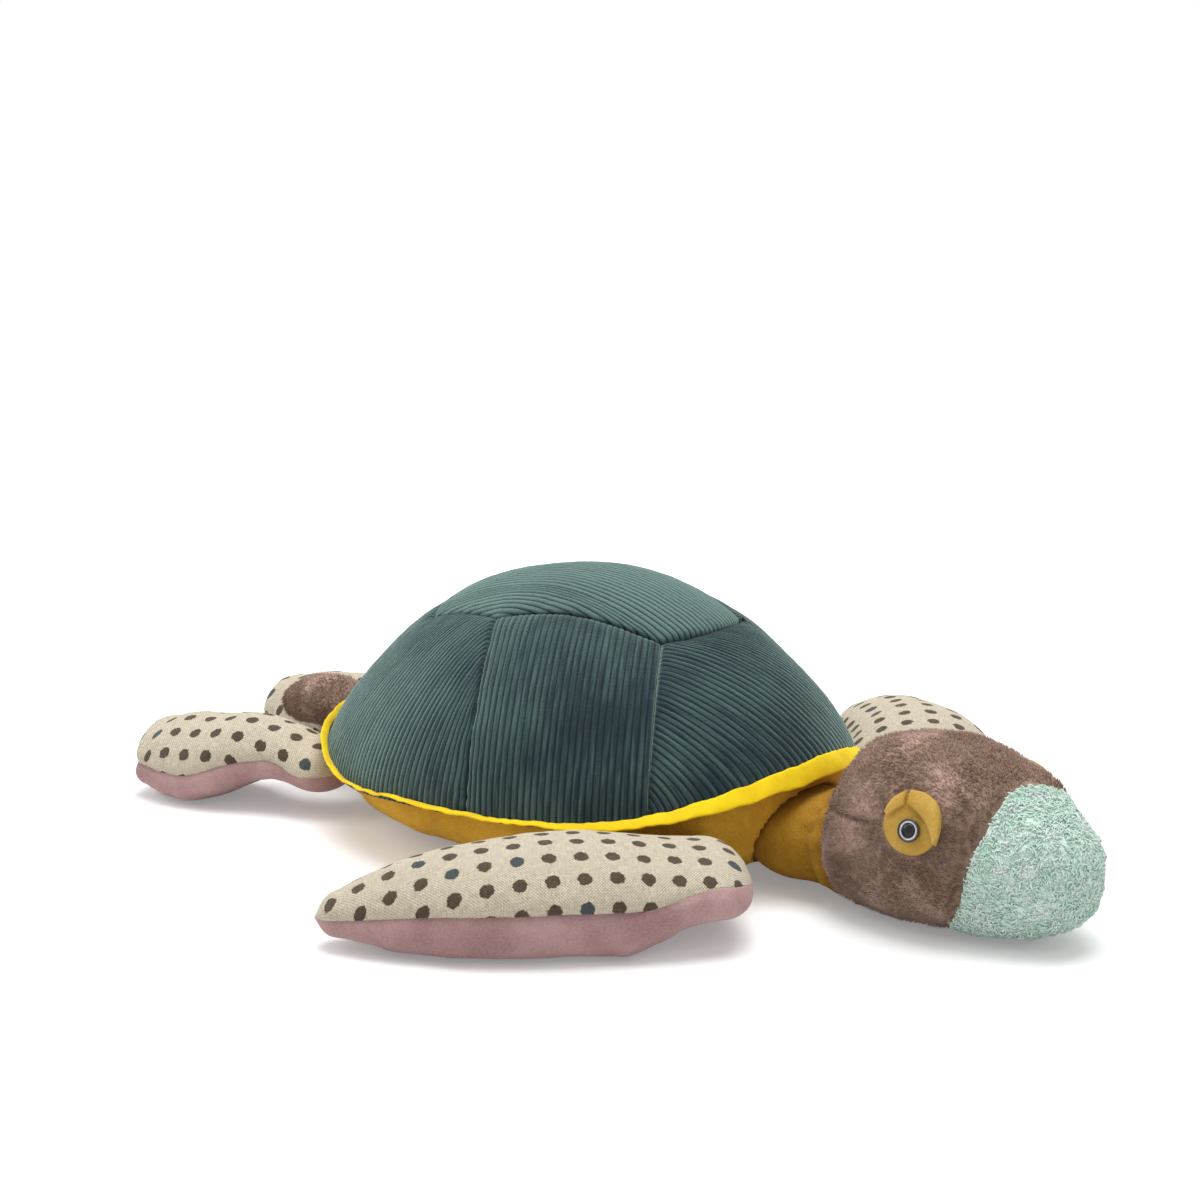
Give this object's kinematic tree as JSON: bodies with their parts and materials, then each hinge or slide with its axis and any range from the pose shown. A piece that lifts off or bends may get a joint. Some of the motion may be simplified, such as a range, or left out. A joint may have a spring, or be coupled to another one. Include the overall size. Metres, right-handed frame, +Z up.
{
  "type": "plush sea turtle toy",
  "caption": "Large stuffed sea turtle lying on its belly, with a corduroy shell, a folded yellow rim, dotted linen flippers, a brown fur head with a mint terry muzzle and felt-backed doll eyes.",
  "frame": {"origin": "middle of the toy's box on the surface that it lies on", "axes": "+X toward the nose, +Y toward the toy's left side, +Z up"},
  "size_m": [0.6492, 0.502, 0.158],
  "materials": {
    "corduroy": "wide-wale corduroy, dark teal",
    "rim_cotton": "folded cotton band, bright yellow",
    "mustard_velvet": "short-pile velvet, mustard",
    "linen": "plain-weave linen, beige with printed dots",
    "mauve_velvet": "short-pile velvet, mauve",
    "brown_fur": "short fur cloth, taupe brown",
    "mint_terry": "looped terry, mint",
    "felt": "wool felt, soft yellow",
    "eye_rim": "satin black",
    "eye_ring": "satin silver",
    "eye_pupil": "polished dark slate",
    "washer_nylon": "natural nylon",
    "fibre": "loose polyester fibre"
  },
  "bodies": {
    "torso": {"shell_top_panel": "corduroy", "shell_front_panel": "corduroy", "shell_rear_panel": "corduroy", "shell_left_panel": "corduroy", "shell_right_panel": "corduroy", "belly_panel": "mustard_velvet", "body_stuffing": "fibre", "rim_band": "rim_cotton"},
    "neck": {"neck_cover": "mustard_velvet", "neck_stuffing": "fibre"},
    "head": {"head_left_cover": "brown_fur", "head_right_cover": "brown_fur", "muzzle_cover": "mint_terry", "head_stuffing": "fibre", "left_eye_patch": "felt", "left_eye_eyelid": "felt", "left_eye_eyelid_flap": "felt", "left_eye_bezel": "eye_rim", "left_eye_ring": "eye_ring", "left_eye_pupil": "eye_pupil", "left_eye_washer": "washer_nylon", "right_eye_patch": "felt", "right_eye_eyelid": "felt", "right_eye_eyelid_flap": "felt", "right_eye_bezel": "eye_rim", "right_eye_ring": "eye_ring", "right_eye_pupil": "eye_pupil", "right_eye_washer": "washer_nylon"},
    "tail": {"tail_cover": "brown_fur", "tail_stuffing": "fibre"},
    "front_left_flipper": {"front_left_flipper_top_cover": "linen", "front_left_flipper_underside_cover": "mauve_velvet", "front_left_flipper_stuffing": "fibre"},
    "front_right_flipper": {"front_right_flipper_top_cover": "linen", "front_right_flipper_underside_cover": "mauve_velvet", "front_right_flipper_stuffing": "fibre"},
    "rear_left_flipper": {"rear_left_flipper_top_cover": "linen", "rear_left_flipper_underside_cover": "mauve_velvet", "rear_left_flipper_stuffing": "fibre"},
    "rear_right_flipper": {"rear_right_flipper_top_cover": "linen", "rear_right_flipper_underside_cover": "mauve_velvet", "rear_right_flipper_stuffing": "fibre"}
  },
  "joints": [
    {"name": "neck_turn", "type": "hinge", "parent": "torso", "child": "neck", "pos_m": [0.14339, 0, 0.0272], "axis": [0, 0, 1], "range_deg": [-10, 25], "stiffness_Nm_per_rad": 0.6},
    {"name": "head_nod", "type": "hinge", "parent": "neck", "child": "head", "pos_m": [0.17805, -0.00487, 0.0325], "axis": [-0.1392, -0.9903, 0], "range_deg": [-15, 35], "stiffness_Nm_per_rad": 0.8},
    {"name": "tail_wag", "type": "hinge", "parent": "torso", "child": "tail", "pos_m": [-0.19261, 0, 0.036], "axis": [0, 0, 1], "range_deg": [-8, 20], "stiffness_Nm_per_rad": 0.05},
    {"name": "front_left_flap", "type": "hinge", "parent": "torso", "child": "front_left_flipper", "pos_m": [0.14339, 0.1045, 0.021], "axis": [0.723, 0.6909, 0], "range_deg": [-30, 8], "stiffness_Nm_per_rad": 0.4},
    {"name": "front_right_flap", "type": "hinge", "parent": "torso", "child": "front_right_flipper", "pos_m": [0.14339, -0.1045, 0.021], "axis": [-0.723, 0.6909, 0], "range_deg": [-30, 8], "stiffness_Nm_per_rad": 0.4},
    {"name": "rear_left_flap", "type": "hinge", "parent": "torso", "child": "rear_left_flipper", "pos_m": [-0.17061, 0.064, 0.0165], "axis": [-0.0969, 0.9953, 0], "range_deg": [-25, 10], "stiffness_Nm_per_rad": 0.3},
    {"name": "rear_right_flap", "type": "hinge", "parent": "torso", "child": "rear_right_flipper", "pos_m": [-0.17061, -0.064, 0.0165], "axis": [-0.1312, 0.9914, 0], "range_deg": [-25, 20], "stiffness_Nm_per_rad": 0.3}
  ]
}
